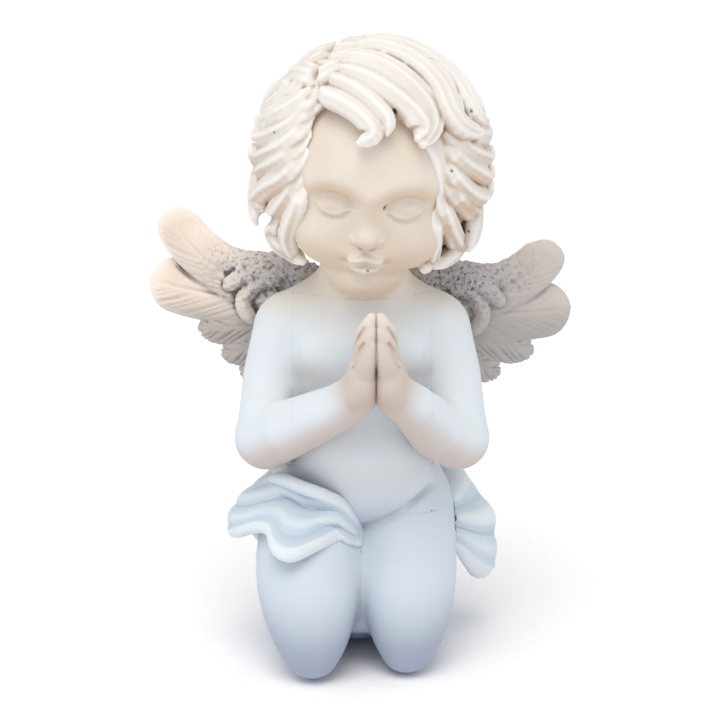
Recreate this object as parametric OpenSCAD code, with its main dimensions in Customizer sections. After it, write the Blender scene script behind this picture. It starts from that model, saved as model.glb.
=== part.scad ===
// Kneeling angel figurine with praying hands, a small resin statuette.
// It is cast in separate pieces, which are pinned with steel dowels and bonded.
// Millimetres. The figure faces -Y, its left hand is on +X, and it kneels on z = 0.

/* [Legs] */
// Height of the joint between the legs and the torso
hip_z = 40; // [33:1:48]
// Thickness of each thigh
thigh_d = 28; // [23:1:34]
// Distance between the centres of the knees
knee_spread = 25; // [21:1:30]
// From the body's axis forward to the centres of the knees
knee_reach = 20; // [17:1:24]
// From the body's axis back to the tips of the toes
toe_reach = 43; // [36:1:51]

/* [Torso] */
// From the hip joint up to the neck joint
torso_h = 51; // [42:1:62]
// Width of the chest, between the two flats that the arms are bonded to
chest_w = 34; // [28:1:41]
// Depth of the chest and belly
chest_d = 31; // [25:1:38]
// How deep the flat for the wings is cut into the back
back_cut = 3.6; // [3:0.1:4.3]

/* [Head] */
// From the chin to the top of the skull
head_h = 54; // [45:1:64]
// Width across the cheeks and temples
head_w = 42; // [35:1:51]
// From the nose to the back of the skull
head_d = 46; // [39:1:55]
// Thickness of the hair at the sides of the head
hair_t = 7.5; // [6.2:0.1:9]
// Diameter of the neck
neck_d = 23; // [20:1:27]
// How far the head bows, in degrees
head_bow = 18; // [14:1:22]
// How far the head leans towards its left shoulder, in degrees
head_lean = 4; // [0:1:8]

/* [Arms] */
// Thickness of the upper arms
arm_d = 15.5; // [13:0.5:18.5]
// From the shoulder down to the elbow
upper_arm = 24; // [20:1:29]
// Height of the praying hands, from the wrists to the fingertips
hand_h = 21; // [17.5:0.5:25]
// From the front of the chest forward to the middle of the hands
hand_gap = 12.4; // [10:0.4:14.8]
// How far the hands are held to the figure's left of its middle
palm_x = 3.3; // [0:0.1:4]

/* [Wings] */
// From the root of a wing to the tip of its longest feather
wing_l = 40; // [34:1:48]
// Width of the longest feather
feather_w = 15; // [12.5:0.5:18]
// Thickness of one feather
feather_t = 2.6; // [2.2:0.1:3.1]
// How far the wings sweep back, in degrees
wing_sweep = 14; // [10:1:18]
// How far the left wing hangs below the right one, in degrees
left_wing_droop = 12; // [0:1:15]

/* [Drapery] */
// Thickness of the cloth where it lies flat on the body
cloth_t = 2.4; // [2:0.1:3]
// How far the hem and the folds stand out from the cloth
ruffle = 5; // [4:0.1:6]
// Height of the cloth, from its hem to its top edge
cloth_h = 19; // [16:1:23]

/* [Dowels] */
// Diameter of the dowels in the neck and the hips
dowel_d = 4; // [3.3:0.1:4.8]
// Diameter of the dowels in the shoulders and the wings
small_dowel_d = 2.5; // [2:0.1:3]
// Length of the neck and hip dowels
dowel_l = 18; // [15:1:21]
// Length of the shoulder and wing dowels
small_dowel_l = 11; // [9:0.5:13]
// Bond line round a dowel and between two castings
glue = 0.15; // [0.1:0.05:0.2]

/* [Hidden] */

// Paint of the castings, and the bare steel of the dowels
skin_white = "#dfe3e6";
hair_ivory = "#efe6da";
cloth_white = "#d3dbe2";
wing_grey = "#c9c3bc";
steel = "#9a9da0";

side_step = 7.5; // degrees between the points of a ring round the body
ring_step = 2.5; // height between two rings of the body
bed = 0.4; // deeper bond line, between curved faces

neck_z = hip_z + torso_h;
shoulder_z = neck_z - 9;
shoulder_y = 2;
arm_x = chest_w / 2 + 2.6; // middle of the upper arm at the shoulder
elbow = [chest_w / 2 + 6.8, -chest_d * 0.29, shoulder_z - upper_arm];
hand_reach = chest_d / 2 + hand_gap;
hand_z = elbow.z + 15; // where the hands start, above the wrists
back_y = chest_d * 0.51 - back_cut; // the flat that the wings are bonded to
wing_z = shoulder_z - 2;
wing_x = 6.5;
wing_pad_t = 7;
head_c = [2, -5, neck_z + head_h * 0.6];
head_r = [head_w, head_d, head_h] / 2;

function mix(a, b, t) = a + (b - a) * t;
function per_axis(a, b) = [a.x / b.x, a.y / b.y, a.z / b.z];
function flip(p, side) = [p.x * side, p.y, p.z];

// ---- Swelling forms: an ellipsoid is [centre, radii] ----

// Where a ray leaves an ellipsoid, or 0 if it misses it
function ray_exit(form, from, way) =
    let (
        p = per_axis(from - form[0], form[1]),
        q = per_axis(way, form[1]),
        a = q * q,
        b = p * q,
        disc = b * b - a * (p * p - 1)
    )
    disc > 0 ? (sqrt(disc) - b) / a : 0;

// How far a group of ellipsoids reaches from a point
function reach(forms, from, way) = max([for (f = forms) ray_exit(f, from, way)]);

// Balls from a to b, which stand for a tapering limb
function limb_balls(a, b, ra, rb, n) =
    [for (i = [0:n]) let (t = i / n, r = mix(ra, rb, t)) [mix(a, b, t), [r, r, r]]];

function both_sides(forms) =
    [for (side = [-1, 1], f = forms) [flip(f[0], side), f[1]]];

torso_forms = concat(
    [
        [[0, -1, hip_z + 0.2 * torso_h], [chest_w * 0.52, chest_d * 0.53, torso_h * 0.36]],
        [[0, 0, hip_z + 0.62 * torso_h], [chest_w * 0.5, chest_d * 0.49, torso_h * 0.4]],
        [[0, 1.5, neck_z - 6], [chest_w * 0.5, 11.5, 9]],
        [[0, chest_d * 0.13, wing_z - 2], [chest_w * 0.56, chest_d * 0.38, 15.5]],
        [[0, 0.5, neck_z], [neck_d * 0.52, neck_d * 0.52, 16]]
    ],
    both_sides([[[chest_w * 0.28, shoulder_y - 1, shoulder_z + 1], [10, 10, 9]]])
);

hip = [thigh_d * 0.42, 3, hip_z - 3];
knee = [knee_spread / 2, -knee_reach, thigh_d * 0.4];
heel = [knee_spread * 0.38, toe_reach - 15, 6];
toes = [knee_spread * 0.34, toe_reach - 5, 4.2];

leg_forms = concat(
    both_sides(concat(
        limb_balls(hip, knee, thigh_d * 0.5, thigh_d * 0.42, 8),
        limb_balls([knee.x, knee.y + 6, 8], heel, thigh_d * 0.36, 6.5, 8),
        limb_balls(heel, toes, 6.5, 5, 3),
        [[[thigh_d * 0.36, 9, hip_z - 6], [thigh_d * 0.46, 12, hip_z * 0.42]]]
    )),
    [[[0, toe_reach * 0.25, 8], [knee_spread * 0.4, toe_reach * 0.62, hip_z * 0.6]]]
);

body_forms = concat(torso_forms, leg_forms);

function compass(a) = [sin(a), -cos(a), 0]; // 0 is forward, 90 is the figure's left

// ---- Skins ----

// Closes a stack of rings into a solid, with a fan to a middle point at either end
module skin(rings, first, last) {
    n = len(rings[0]);
    m = len(rings);
    sides = [
        for (i = [0:m - 2], j = [0:n - 1])
            let (a = i * n + j, b = i * n + (j + 1) % n)
                each [[a, b + n, b], [a, a + n, b + n]]
    ];
    start = [for (j = [0:n - 1]) [m * n, j, (j + 1) % n]];
    end = [for (j = [0:n - 1]) [m * n + 1, (m - 1) * n + (j + 1) % n, (m - 1) * n + j]];
    polyhedron([each [for (r = rings) each r], first, last], concat(sides, start, end));
}

function middle(ring) = [for (k = [0:2]) [for (p = ring) p[k]] * [for (p = ring) 1] / len(ring)];

// A round limb with domed ends
module limb(a, b, ra, rb) {
    way = (b - a) / norm(b - a);
    u = cross(way, [0, 1, 0.2]) / norm(cross(way, [0, 1, 0.2]));
    v = cross(way, u);
    function ring(c, r) = [for (t = [0:20:340]) c + r * (u * cos(t) + v * sin(t))];
    skin(
        concat(
            [for (t = [20:23:89]) ring(a - way * ra * cos(t), ra * sin(t))],
            [for (t = [90:23:160]) ring(b - way * rb * cos(t), rb * sin(t))]
        ),
        a - way * ra, b + way * rb
    );
}

module dowel_hole(p, turn, l, d) {
    translate(p)
        rotate(turn)
            cylinder(d = d + 2 * glue, h = l + 1, center = true, $fn = 32);
}

module dowel(p, turn, l, d) {
    translate(p)
        rotate(turn)
            cylinder(d = d, h = l, center = true, $fn = 32);
}

// ---- Places of the dowels: [middle, turn] ----

neck_dowel_at = [[0, 0, neck_z], [0, 0, 0]];
hip_dowels_at = [for (side = [-1, 1]) [[side * 9, 2, hip_z], [0, 0, 0]]];
shoulder_dowels_at = [
    for (side = [-1, 1]) [[side * chest_w / 2, shoulder_y, shoulder_z], [0, 90, 0]]
];
wing_dowels_at = [
    for (side = [-1, 1], up = [-4.5, 4.5])
        [[side * wing_x, back_y + 1.2, wing_z + up], [90, 0, 0]]
];

// ---- Castings ----

// Chest, belly and shoulders, with a flat at the neck, hips, both shoulders and the back
module torso() {
    levels = [for (z = [hip_z:ring_step:neck_z - 0.5]) z, neck_z];
    function wall(z) = [
        for (a = [0:side_step:359])
            let (p = reach(body_forms, [0, 0, z], compass(a)) * compass(a))
                [
                    z < elbow.z - 6 ? p.x : max(-chest_w / 2, min(chest_w / 2, p.x)),
                    min(back_y + max(0, wing_z - 14 - z) * 0.7, p.y),
                    z
                ]
    ];
    color(skin_white)
        difference() {
            skin([for (z = levels) wall(z)], [0, 0, hip_z], [0, 0, neck_z]);
            dowel_hole(neck_dowel_at[0], neck_dowel_at[1], dowel_l, dowel_d);
            for (at = hip_dowels_at)
                dowel_hole(at[0], at[1], dowel_l, dowel_d);
            for (at = concat(shoulder_dowels_at, wing_dowels_at))
                dowel_hole(at[0], at[1], small_dowel_l, small_dowel_d);
        }
}

// One folded leg: half of the kneeling base, with a flat towards the other leg
module leg(side) {
    top = hip_z - glue;
    levels = [0, 1, for (z = [2.5:ring_step:top - 1]) z, top];
    inner = glue / 2;
    function wall(z) = [
        for (a = [0:side_step:180])
            let (p = reach(leg_forms, [0, 0, z], compass(a)) * compass(a))
                [max(p.x, inner) * side, p.y, z]
    ];
    function ring(z) = side > 0 ? wall(z) : [for (i = [len(wall(z)) - 1:-1:0]) wall(z)[i]];
    color(skin_white)
        difference() {
            skin([for (z = levels) ring(z)], [side, 0, 0], [side, 0, top]);
            for (at = hip_dowels_at)
                dowel_hole(at[0], at[1], dowel_l, dowel_d);
        }
}

// Skull and face, in the head's own frame, with its middle at the origin
face_forms = [
    [[0, 2.5, 3], [head_r.x, head_r.y - 2.5, head_r.z - 4]],
    [[0, -3, -9], [head_r.x * 0.9, head_r.y * 0.78, head_r.z * 0.66]],
    [[0, -6, -17], [head_r.x * 0.6, head_r.y * 0.5, head_r.z * 0.4]],
    [[-head_r.x * 0.44, -9.5, -12], [9, 9, 9]],
    [[head_r.x * 0.44, -9.5, -12], [9, 9, 9]],
    [[0, -head_r.y + 3.5, -9.5], [3, 4, 3.4]],
    [[0, 5, -17], [neck_d * 0.5, neck_d * 0.5, 14]]
];
crown_tilt = 24; // the hair grows from a crown behind the top of the head

function crown_way(round, down) =
    let (x = sin(down) * sin(round), y = -sin(down) * cos(round), z = cos(down))
        [x, y * cos(crown_tilt) + z * sin(crown_tilt), z * cos(crown_tilt) - y * sin(crown_tilt)];

module place_head() {
    translate(head_c)
        rotate([head_bow, head_lean, 0])
            children();
}

module head() {
    function ring(down) = [
        for (round = [0:10:359])
            reach(face_forms, [0, 0, 0], crown_way(round, down)) * crown_way(round, down)
    ];
    neck_foot = neck_z + glue;
    color(skin_white)
        difference() {
            union() {
                place_head()
                    skin(
                        [for (down = [171:-9:9]) ring(down)],
                        reach(face_forms, [0, 0, 0], crown_way(0, 180)) * crown_way(0, 180),
                        reach(face_forms, [0, 0, 0], crown_way(0, 0)) * crown_way(0, 0)
                    );
                translate([0, 0.5, neck_foot])
                    cylinder(d = neck_d, h = head_c.z - neck_foot - 8, $fn = 48);
            }
            dowel_hole(neck_dowel_at[0], neck_dowel_at[1], dowel_l, dowel_d);
        }
}

// The curls: a cap over the skull, with a scalloped outside and an open face
hair_forms = [
    [[0, 3, 3], head_r + [hair_t, hair_t - 3, hair_t * 0.6] - [0, 2, 2]],
    [[-head_r.x + 1, 1, -9], [hair_t + 1.5, 13, 15]],
    [[head_r.x - 1, 1, -7], [hair_t + 2.5, 13, 15]],
    [[0, 12, -9], [20, 14, 15]]
];
curls = 11; // scallops round the head

module hair() {
    // How far down the hair grows: to the brow in front, past the ears, to the nape behind
    function hem(round) = 94 - 30 * cos(round) + 31 * pow(sin(round), 2);
    function outside(round, down) =
        reach(hair_forms, [0, 0, 0], crown_way(round, down))
        + 1.3 * sin(down) * cos(curls * round + 2 * down);
    // The head is faceted, so the cap keeps clear of the highest point nearby
    function lining(round, down) = bed + max([
        for (dr = [-5, 0, 5], dd = [-4.5, 0, 4.5])
            reach(face_forms, [0, 0, 0], crown_way(round + dr, down + dd))
    ]);
    function ring(t, out) = [
        for (round = [0:6:359])
            let (
                down = hem(round) * t,
                way = crown_way(round, down),
                skull = lining(round, down)
            )
                (out ? max(outside(round, down), skull + 1.5) : skull) * way
    ];
    share = [0.08, 0.2, 0.32, 0.44, 0.56, 0.68, 0.8, 0.91, 1];
    n = len(share) - 1;
    crown = crown_way(0, 0);
    color(hair_ivory)
        place_head()
            skin(
                concat([for (i = [0:n]) ring(share[i], false)],
                       [for (i = [n:-1:0]) ring(share[i], true)]),
                lining(0, 0) * crown,
                outside(0, 0) * crown
            );
}

// Upper arm, forearm and one of the praying hands. The palm is flat on the plane between them.
module arm(side) {
    wrist = [palm_x + side * 5.5, -hand_reach + 0.5, hand_z + 2];
    bend = flip(elbow, side);
    // Share of the height, half width and half depth, up the hand
    hand = [[0, 2.8, 4], [0.12, 3.4, 5.4], [0.4, 3.6, 6.4], [0.66, 3, 5.8], [0.86, 2.2, 4.2], [0.96, 1.4, 2.6]];
    function palm_ring(s) = [
        for (t = [0:20:340])
            [
                palm_x + side * max(glue / 2, 2.7 + s[1] * cos(t)),
                side * s[2] * sin(t) - hand_reach,
                hand_z + hand_h * s[0]
            ]
    ];
    color(skin_white)
        difference() {
            union() {
                intersection() {
                    limb([side * arm_x, shoulder_y, shoulder_z], bend, arm_d * 0.52, arm_d * 0.48);
                    translate([side > 0 ? chest_w / 2 + glue : -chest_w / 2 - glue - 50, -50, bend.z - 20])
                        cube([50, 100, upper_arm + 50]);
                }
                limb(bend, wrist, arm_d * 0.48, arm_d * 0.32);
                skin([for (s = hand) palm_ring(s)],
                    [palm_x + side * 2.5, -hand_reach, hand_z - 0.5],
                    [palm_x + side * 1.7, -hand_reach, hand_z + hand_h]);
            }
            for (at = shoulder_dowels_at)
                dowel_hole(at[0], at[1], small_dowel_l, small_dowel_d);
        }
}

// Outline of one feather, which lies along +X with its quill at the origin
function feather_outline(l, w) =
    let (
        n = 10,
        half = [
            for (i = [0:n])
                let (t = i / n)
                    [l * t, w / 2 * (0.55 + 0.45 * sin(130 * t)) * sqrt(1 - pow(max(0, t * 4 - 3), 2))]
        ]
    )
    concat(half, [for (i = [n - 1:-1:0]) [half[i].x, -half[i].y]]);

module feather(l, w, t) {
    linear_extrude(t)
        polygon(feather_outline(l, w));
}

// One wing: flight feathers that fan out, shorter feathers over their quills, and the
// pad that is bonded to the back. Rows are [out, up, angle, share of length, of width].
flight_feathers = [
    [6, 4, 36, 1.07, 1], [8, 3, 9, 1, 1.05], [7, 0, -8, 0.82, 0.82],
    [6, -3, -22, 0.66, 0.74], [4, -5, -38, 0.54, 0.68], [3, -6, -58, 0.44, 0.6]
];
cover_feathers = [[4, 5, 20, 0.42, 0.7], [4, 1, -8, 0.42, 0.66], [3, -4, -32, 0.38, 0.6]];

module wing(side) {
    droop = side > 0 ? left_wing_droop : 0;
    lap = feather_t * 0.3; // each feather lies this much in front of the one above it
    color(wing_grey)
        mirror([side > 0 ? 0 : 1, 0, 0])
            difference() {
                union() {
                    translate([wing_x, back_y + glue + wing_pad_t, wing_z])
                        rotate([90, 0, 0])
                            linear_extrude(wing_pad_t)
                                polygon([for (a = [0:12:359]) [5.5 * cos(a), 8 * sin(a)]]);
                    translate([wing_x, back_y + wing_pad_t - 1, wing_z])
                        rotate([90, droop, wing_sweep]) {
                            for (i = [0:len(flight_feathers) - 1])
                                let (f = flight_feathers[i])
                                    translate([f[0], f[1], i * lap - feather_t])
                                        rotate(f[2])
                                            feather(wing_l * f[3], feather_w * f[4], feather_t);
                            for (i = [0:len(cover_feathers) - 1])
                                let (f = cover_feathers[i])
                                    translate([f[0], f[1], i * lap])
                                        rotate(f[2])
                                            feather(wing_l * f[3], feather_w * f[4], feather_t * 1.5);
                        }
                }
                for (at = wing_dowels_at)
                    dowel_hole(at[0], at[1], small_dowel_l, small_dowel_d);
            }
}

// A swag of cloth round the hips, from one compass angle to another. Its inside follows
// the body, and its outside stands out in folds, most at the hem.
module drape(from, to, hem_z, top_z, folds, flare) {
    n = ceil((to - from) / side_step);
    rows = 8;
    // The body is faceted, so the cloth keeps clear of the highest point nearby
    function lining(a, z) = bed + max([
        for (da = [-side_step / 2, 0, side_step / 2], dz = [-ring_step / 2, 0, ring_step / 2])
            reach(body_forms, [0, 0, z + dz], compass(a + da))
    ]);
    function station(i) =
        let (
            a = mix(from, to, i / n),
            ends = sqrt(sin(180 * mix(0.03, 0.97, i / n))),
            low = mix(hem_z[0], hem_z[1], i / n) + 1.2 * sin(folds * a),
            high = mix(top_z[0], top_z[1], i / n),
            levels = [for (k = [0:rows]) mix(low, high, k / rows)]
        )
        concat(
            [for (z = levels) lining(a, z) * compass(a) + [0, 0, z]],
            [
                for (k = [rows:-1:0])
                    let (
                        z = levels[k],
                        t = 1 - k / rows,
                        fold = 0.5 + 0.5 * cos(folds * a),
                        belly = 0.25 + 0.75 * sin(150 * t),
                        out = cloth_t * (0.4 + 0.6 * ends)
                            + ends * flare * ruffle * belly * (0.4 + 0.6 * fold)
                    )
                        (lining(a, z) + out) * compass(a) + [0, 0, z]
            ]
        );
    rings = [for (i = [0:n]) station(i)];
    color(cloth_white)
        skin(rings, middle(rings[0]), middle(rings[n]));
}

drape_seam = 215; // compass angle behind the figure where the two swags meet

module hip_drape() {
    drape(drape_seam + 0.4, 352, [hip_z - 11, hip_z - 9], [hip_z - 9 + cloth_h, hip_z - 2], 9, 1.7);
}

module back_drape() {
    drape(93, drape_seam - 0.4, [hip_z - 19, hip_z - 11], [hip_z - 2, hip_z - 9 + cloth_h], 7, 2.8);
}

module neck_dowel() {
    color(steel)
        dowel(neck_dowel_at[0], neck_dowel_at[1], dowel_l, dowel_d);
}

module hip_dowels() {
    color(steel)
        for (at = hip_dowels_at)
            dowel(at[0], at[1], dowel_l, dowel_d);
}

module small_dowels(places) {
    color(steel)
        for (at = places)
            dowel(at[0], at[1], small_dowel_l, small_dowel_d);
}

torso();
leg(-1);  // right_leg
leg(1);  // left_leg
head();
hair();
arm(-1);  // right_arm
arm(1);  // left_arm
wing(-1);  // right_wing
wing(1);  // left_wing
hip_drape();
back_drape();
neck_dowel();
hip_dowels();
small_dowels(shoulder_dowels_at);  // shoulder_dowels
small_dowels(wing_dowels_at);  // wing_dowels
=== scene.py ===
"""Resin angel figurine: a kneeling cherub with praying hands, cast in pieces and painted.

Each casting is modelled as a field of distances to its surface, so that its forms flow into each
other as modelled clay does, and is then turned into a mesh. Sizes in this file are millimetres.
The figure faces -Y, and its left hand is on +X.
"""

import math
from functools import cache

import bpy
import numpy as np
import openvdb
from mathutils import Euler, Matrix, Vector


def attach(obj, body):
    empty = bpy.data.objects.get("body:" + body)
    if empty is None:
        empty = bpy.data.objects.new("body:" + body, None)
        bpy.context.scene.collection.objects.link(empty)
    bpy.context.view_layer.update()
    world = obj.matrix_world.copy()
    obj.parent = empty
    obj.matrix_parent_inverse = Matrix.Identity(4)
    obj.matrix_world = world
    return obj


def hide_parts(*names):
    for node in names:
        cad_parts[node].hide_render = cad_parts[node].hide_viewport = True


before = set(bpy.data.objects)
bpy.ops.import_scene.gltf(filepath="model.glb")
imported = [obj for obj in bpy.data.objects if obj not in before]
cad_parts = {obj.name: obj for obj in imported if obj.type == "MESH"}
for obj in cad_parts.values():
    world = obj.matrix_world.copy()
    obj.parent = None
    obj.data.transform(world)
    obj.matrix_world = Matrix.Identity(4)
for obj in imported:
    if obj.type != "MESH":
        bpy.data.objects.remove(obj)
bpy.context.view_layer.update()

bl_info = {
    "name": "Resin angel figurine",
    "version": (1, 0, 0),
    "blender": (4, 5, 0),
    "location": "3D View > Sidebar > Angel",
    "description": "Builds a kneeling resin cherub round its frame",
    "category": "Object",
}

MM = 0.001
F = np.float32
rng = np.random.default_rng(11)

# The head's place on the body, and how it bows and leans, as in the frame
HEAD_AT = (2.0, -5.0, 123.4)
HEAD_BOW = 18.0
HEAD_LEAN = 4.0
HEAD = (
    Matrix.Translation(HEAD_AT)
    @ Matrix.Rotation(math.radians(HEAD_LEAN), 4, "Y")
    @ Matrix.Rotation(math.radians(HEAD_BOW), 4, "X")
)

# Joints between castings
HIP_Z = 40.0
NECK_Z = 94.0
SHOULDER_X = 17.0
THIGHS_X = -0.4
ARMPIT_Z = 50.4  # the trunk is whole below this height
PALMS_X = 3.3
BOND = 0.004  # half the bond line between two castings
SIDES = (-1, 1)  # the figure's right, then its left

# The barbs of a feather: their spacing, how far they slant, and the groove along the shaft
BARB_GAP = 3.1
BARB_SLANT = 1.9
SHAFT_WIDE = 0.5
SHAFT_DEEP = 0.45

PINHOLES = []  # [centre, radius] of the air bubbles that broke the surface, in the world


# ---- Shapes: (distance function, lowest corner, highest corner) ----


def vec(*xyz):
    return np.array(xyz, F)


def egg(centre, radii, turn=(0, 0, 0)):
    """An ellipsoid, turned by degrees about X, Y and Z."""
    c, r = vec(*centre), vec(*radii)
    m = np.array(Euler([math.radians(t) for t in turn]).to_matrix().transposed(), F)
    reach = r if not any(turn) else np.full(3, r.max(), F)

    def distance(x, y, z):
        x, y, z = x - c[0], y - c[1], z - c[2]
        if any(turn):
            x, y, z = (m[i, 0] * x + m[i, 1] * y + m[i, 2] * z for i in range(3))
        x, y, z = x / r[0], y / r[1], z / r[2]
        k = np.sqrt(x * x + y * y + z * z)
        g = np.sqrt((x / r[0]) ** 2 + (y / r[1]) ** 2 + (z / r[2]) ** 2)
        return k * (k - 1) / np.maximum(g, F(1e-4))

    return distance, c - reach, c + reach


def ball(centre, radius):
    return egg(centre, (radius, radius, radius))


def limb(*stations, smooth=0):
    """A limb through stations of (x, y, z, radius), or through smooth points between them."""
    if smooth:
        stations = flow(stations, smooth)
    s = np.array(stations, F)

    def distance(x, y, z):
        out = None
        for a, b in zip(s[:-1], s[1:]):
            d = b[:3] - a[:3]
            px, py, pz = x - a[0], y - a[1], z - a[2]
            t = np.clip((px * d[0] + py * d[1] + pz * d[2]) / (d @ d), 0, 1)
            gap = np.sqrt((px - t * d[0]) ** 2 + (py - t * d[1]) ** 2 + (pz - t * d[2]) ** 2)
            gap = gap - (a[3] + t * (b[3] - a[3]))
            out = gap if out is None else np.minimum(out, gap)
        return out

    return (
        distance,
        (s[:, :3] - s[:, 3:]).min(0),
        (s[:, :3] + s[:, 3:]).max(0),
    )


def flow(points, count):
    """A smooth curve through points, sampled count times."""
    p = np.array(points, float)
    t = np.linspace(0, len(p) - 1, count)
    i = np.minimum(t.astype(int), len(p) - 2)
    u = (t - i)[:, None]
    q = np.vstack([2 * p[0] - p[1], p, 2 * p[-1] - p[-2]])
    a, b, c, d = q[i], q[i + 1], q[i + 2], q[i + 3]
    return 0.5 * (
        2 * b + (c - a) * u + (2 * a - 5 * b + 4 * c - d) * u**2 + (3 * b - a - 3 * c + d) * u**3
    )


def unit(v):
    return v / np.maximum(np.linalg.norm(v, axis=-1, keepdims=True), 1e-9)


def ribbon(path, normals, wide, tall, strands=1.0, groove=0.25, barb=0.0):
    """A flat lock or feather along path, with grooves along it and fine barbs across it.
    wide and tall are its half sizes at each point of the path."""
    path = np.array(path, F)
    ahead = unit(np.gradient(path, axis=0))
    side = unit(np.cross(ahead, normals)).astype(F)
    up = unit(np.cross(side, ahead)).astype(F)
    wide, tall = np.array(wide, F), np.array(tall, F)
    run = np.concatenate([[0], np.cumsum(np.linalg.norm(np.diff(path, axis=0), axis=1))]).astype(F)
    reach = np.maximum(wide, tall)[:, None]

    def distance(x, y, z):
        near = where = None
        for i in range(len(path) - 1):
            d = path[i + 1] - path[i]
            px, py, pz = x - path[i][0], y - path[i][1], z - path[i][2]
            t = np.clip((px * d[0] + py * d[1] + pz * d[2]) / (d @ d), 0, 1)
            gap = (px - t * d[0]) ** 2 + (py - t * d[1]) ** 2 + (pz - t * d[2]) ** 2
            if near is None:
                near, where = gap, t
            else:
                closer = gap < near
                near = np.where(closer, gap, near)
                where = np.where(closer, i + t, where)
        i = np.minimum(where.astype(np.int32), len(path) - 2)
        f = (where - i).astype(F)

        def at(values):
            return values[i] * (1 - f) + values[i + 1] * f

        qx, qy, qz = (p - at(path[:, k]) for k, p in enumerate((x, y, z)))
        lat = qx * at(side[:, 0]) + qy * at(side[:, 1]) + qz * at(side[:, 2])
        hei = qx * at(up[:, 0]) + qy * at(up[:, 1]) + qz * at(up[:, 2])
        rest = np.sqrt(np.maximum(near - lat * lat - hei * hei, 0))
        w, h = at(wide), at(tall)
        u, v, e = lat / w, hei / h, rest / w
        k = np.sqrt(u * u + v * v + e * e)
        g = np.sqrt((u / w) ** 2 + (v / h) ** 2 + (e / w) ** 2)
        out = k * (k - 1) / np.maximum(g, F(1e-4))
        depth = np.minimum(groove, 0.14 * w)
        wave = 0.5 - 0.5 * np.cos(2 * np.pi * strands * u)
        out = out + depth * wave * np.clip(1.3 - np.abs(u), 0, 1)
        if barb:
            phase = (at(run) - BARB_SLANT * np.abs(lat)) * F(2 * np.pi / BARB_GAP)
            slit = 0.5 + 0.5 * np.sin(phase + 1.4 * np.sin(phase * 0.37) + np.sign(lat))
            shaft = np.exp(-((lat / SHAFT_WIDE) ** 2)) * np.clip(1.2 - at(run) / run[-1], 0, 1)
            vane = np.clip(np.abs(u) * 2.4, 0.15, 1) * np.clip((1.02 - np.abs(u)) * 3, 0, 1)
            out = out + SHAFT_DEEP * shaft + barb * slit**5 * vane
        return out

    return distance, (path - reach).min(0), (path + reach).max(0)


def soft_min(a, b, blend):
    if blend <= 0:
        return np.minimum(a, b)
    h = np.maximum(1 - np.abs(a - b) / (1.5 * blend), 0)
    return np.minimum(a, b) - h * h * h * (blend * 0.25)


def soft_max(a, b, blend):
    return -soft_min(-a, -b, blend)


class Clay:
    """A block of distances to a surface, on a grid with its low corner at low. Each shape's
    distances are worked out margin mm round it, or as far as its blend reaches."""

    def __init__(self, low, high, step, margin=0.0):
        self.margin = margin
        self.low, self.step = vec(*low), F(step)
        count = np.ceil((vec(*high) - self.low) / step).astype(int) + 1
        self.d = np.full(count, 9, F)
        self.axes = [self.low[i] + self.step * np.arange(count[i], dtype=F) for i in range(3)]

    def copy(self, d):
        twin = object.__new__(Clay)
        twin.low, twin.step, twin.axes, twin.d = self.low, self.step, self.axes, d.astype(F)
        twin.margin = self.margin
        return twin

    def grid(self):
        x, y, z = self.axes
        return x[:, None, None], y[None, :, None], z[None, None, :]

    def window(self, low, high):
        lo = np.clip(np.floor((low - self.low) / self.step).astype(int), 0, self.d.shape)
        hi = np.clip(np.ceil((high - self.low) / self.step).astype(int) + 1, 0, self.d.shape)
        s = tuple(slice(a, b) for a, b in zip(lo, hi))
        x, y, z = (self.axes[i][s[i]] for i in range(3))
        return s, (x[:, None, None], y[None, :, None], z[None, None, :])

    def add(self, shape, blend=0.6):
        distance, low, high = shape
        pad = max(1.5 * blend or 9, self.margin) + 2 * self.step + 0.3
        s, p = self.window(low - pad, high + pad)
        if self.d[s].size:
            self.d[s] = soft_min(self.d[s], distance(*p), blend)

    def carve(self, shape, blend=0.6):
        distance, low, high = shape
        pad = 1.5 * blend + 2 * self.step + 0.3
        s, p = self.window(low - pad, high + pad)
        if self.d[s].size:
            self.d[s] = soft_max(self.d[s], -distance(*p), blend)

    def at(self, points):
        """Distances at points, blended from the grid's corners."""
        q = (np.asarray(points, F) - self.low) / self.step
        top = np.array(self.d.shape) - 2
        i = np.clip(np.floor(q).astype(int), 0, top)
        f = np.clip(q - i, 0, 1)
        out = 0
        for c in range(8):
            o = np.array([c & 1, c >> 1 & 1, c >> 2 & 1])
            w = np.prod(np.where(o, f, 1 - f), axis=-1)
            j = i + o
            out = out + w * self.d[j[..., 0], j[..., 1], j[..., 2]]
        return out

    def slope(self, points):
        """Gradient of the distances at points."""
        h = self.step * 0.5
        steps_out = np.eye(3, dtype=F) * h
        return np.stack([(self.at(points + o) - self.at(points - o)) / (2 * h) for o in steps_out], -1)

    def front(self, x, z):
        """Y of the foremost skin at (x, z)."""
        ys = np.arange(self.axes[1][0], self.axes[1][-1], 0.1)
        d = self.at(np.stack([np.full_like(ys, x), ys, np.full_like(ys, z)], -1))
        inside = np.nonzero(d < 0)[0]
        return float(ys[inside[0]]) if len(inside) else 0.0

    def relief(self, reach):
        """How much the surface stands out of its surroundings, + on ridges and - in hollows."""
        d = np.clip(self.d, -reach, reach)
        n = max(1, int(round(reach / self.step)))
        for axis in range(3):
            for _ in range(2):
                width = [(n + 1, n) if k == axis else (0, 0) for k in range(3)]
                total = np.cumsum(np.pad(d, width, mode="edge"), axis=axis, dtype=np.float64)
                m = total.shape[axis]
                ahead = np.take(total, range(2 * n + 1, m), axis)
                behind = np.take(total, range(0, m - 2 * n - 1), axis)
                d = ((ahead - behind) / (2 * n + 1)).astype(F)
        return self.copy(d)


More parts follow.
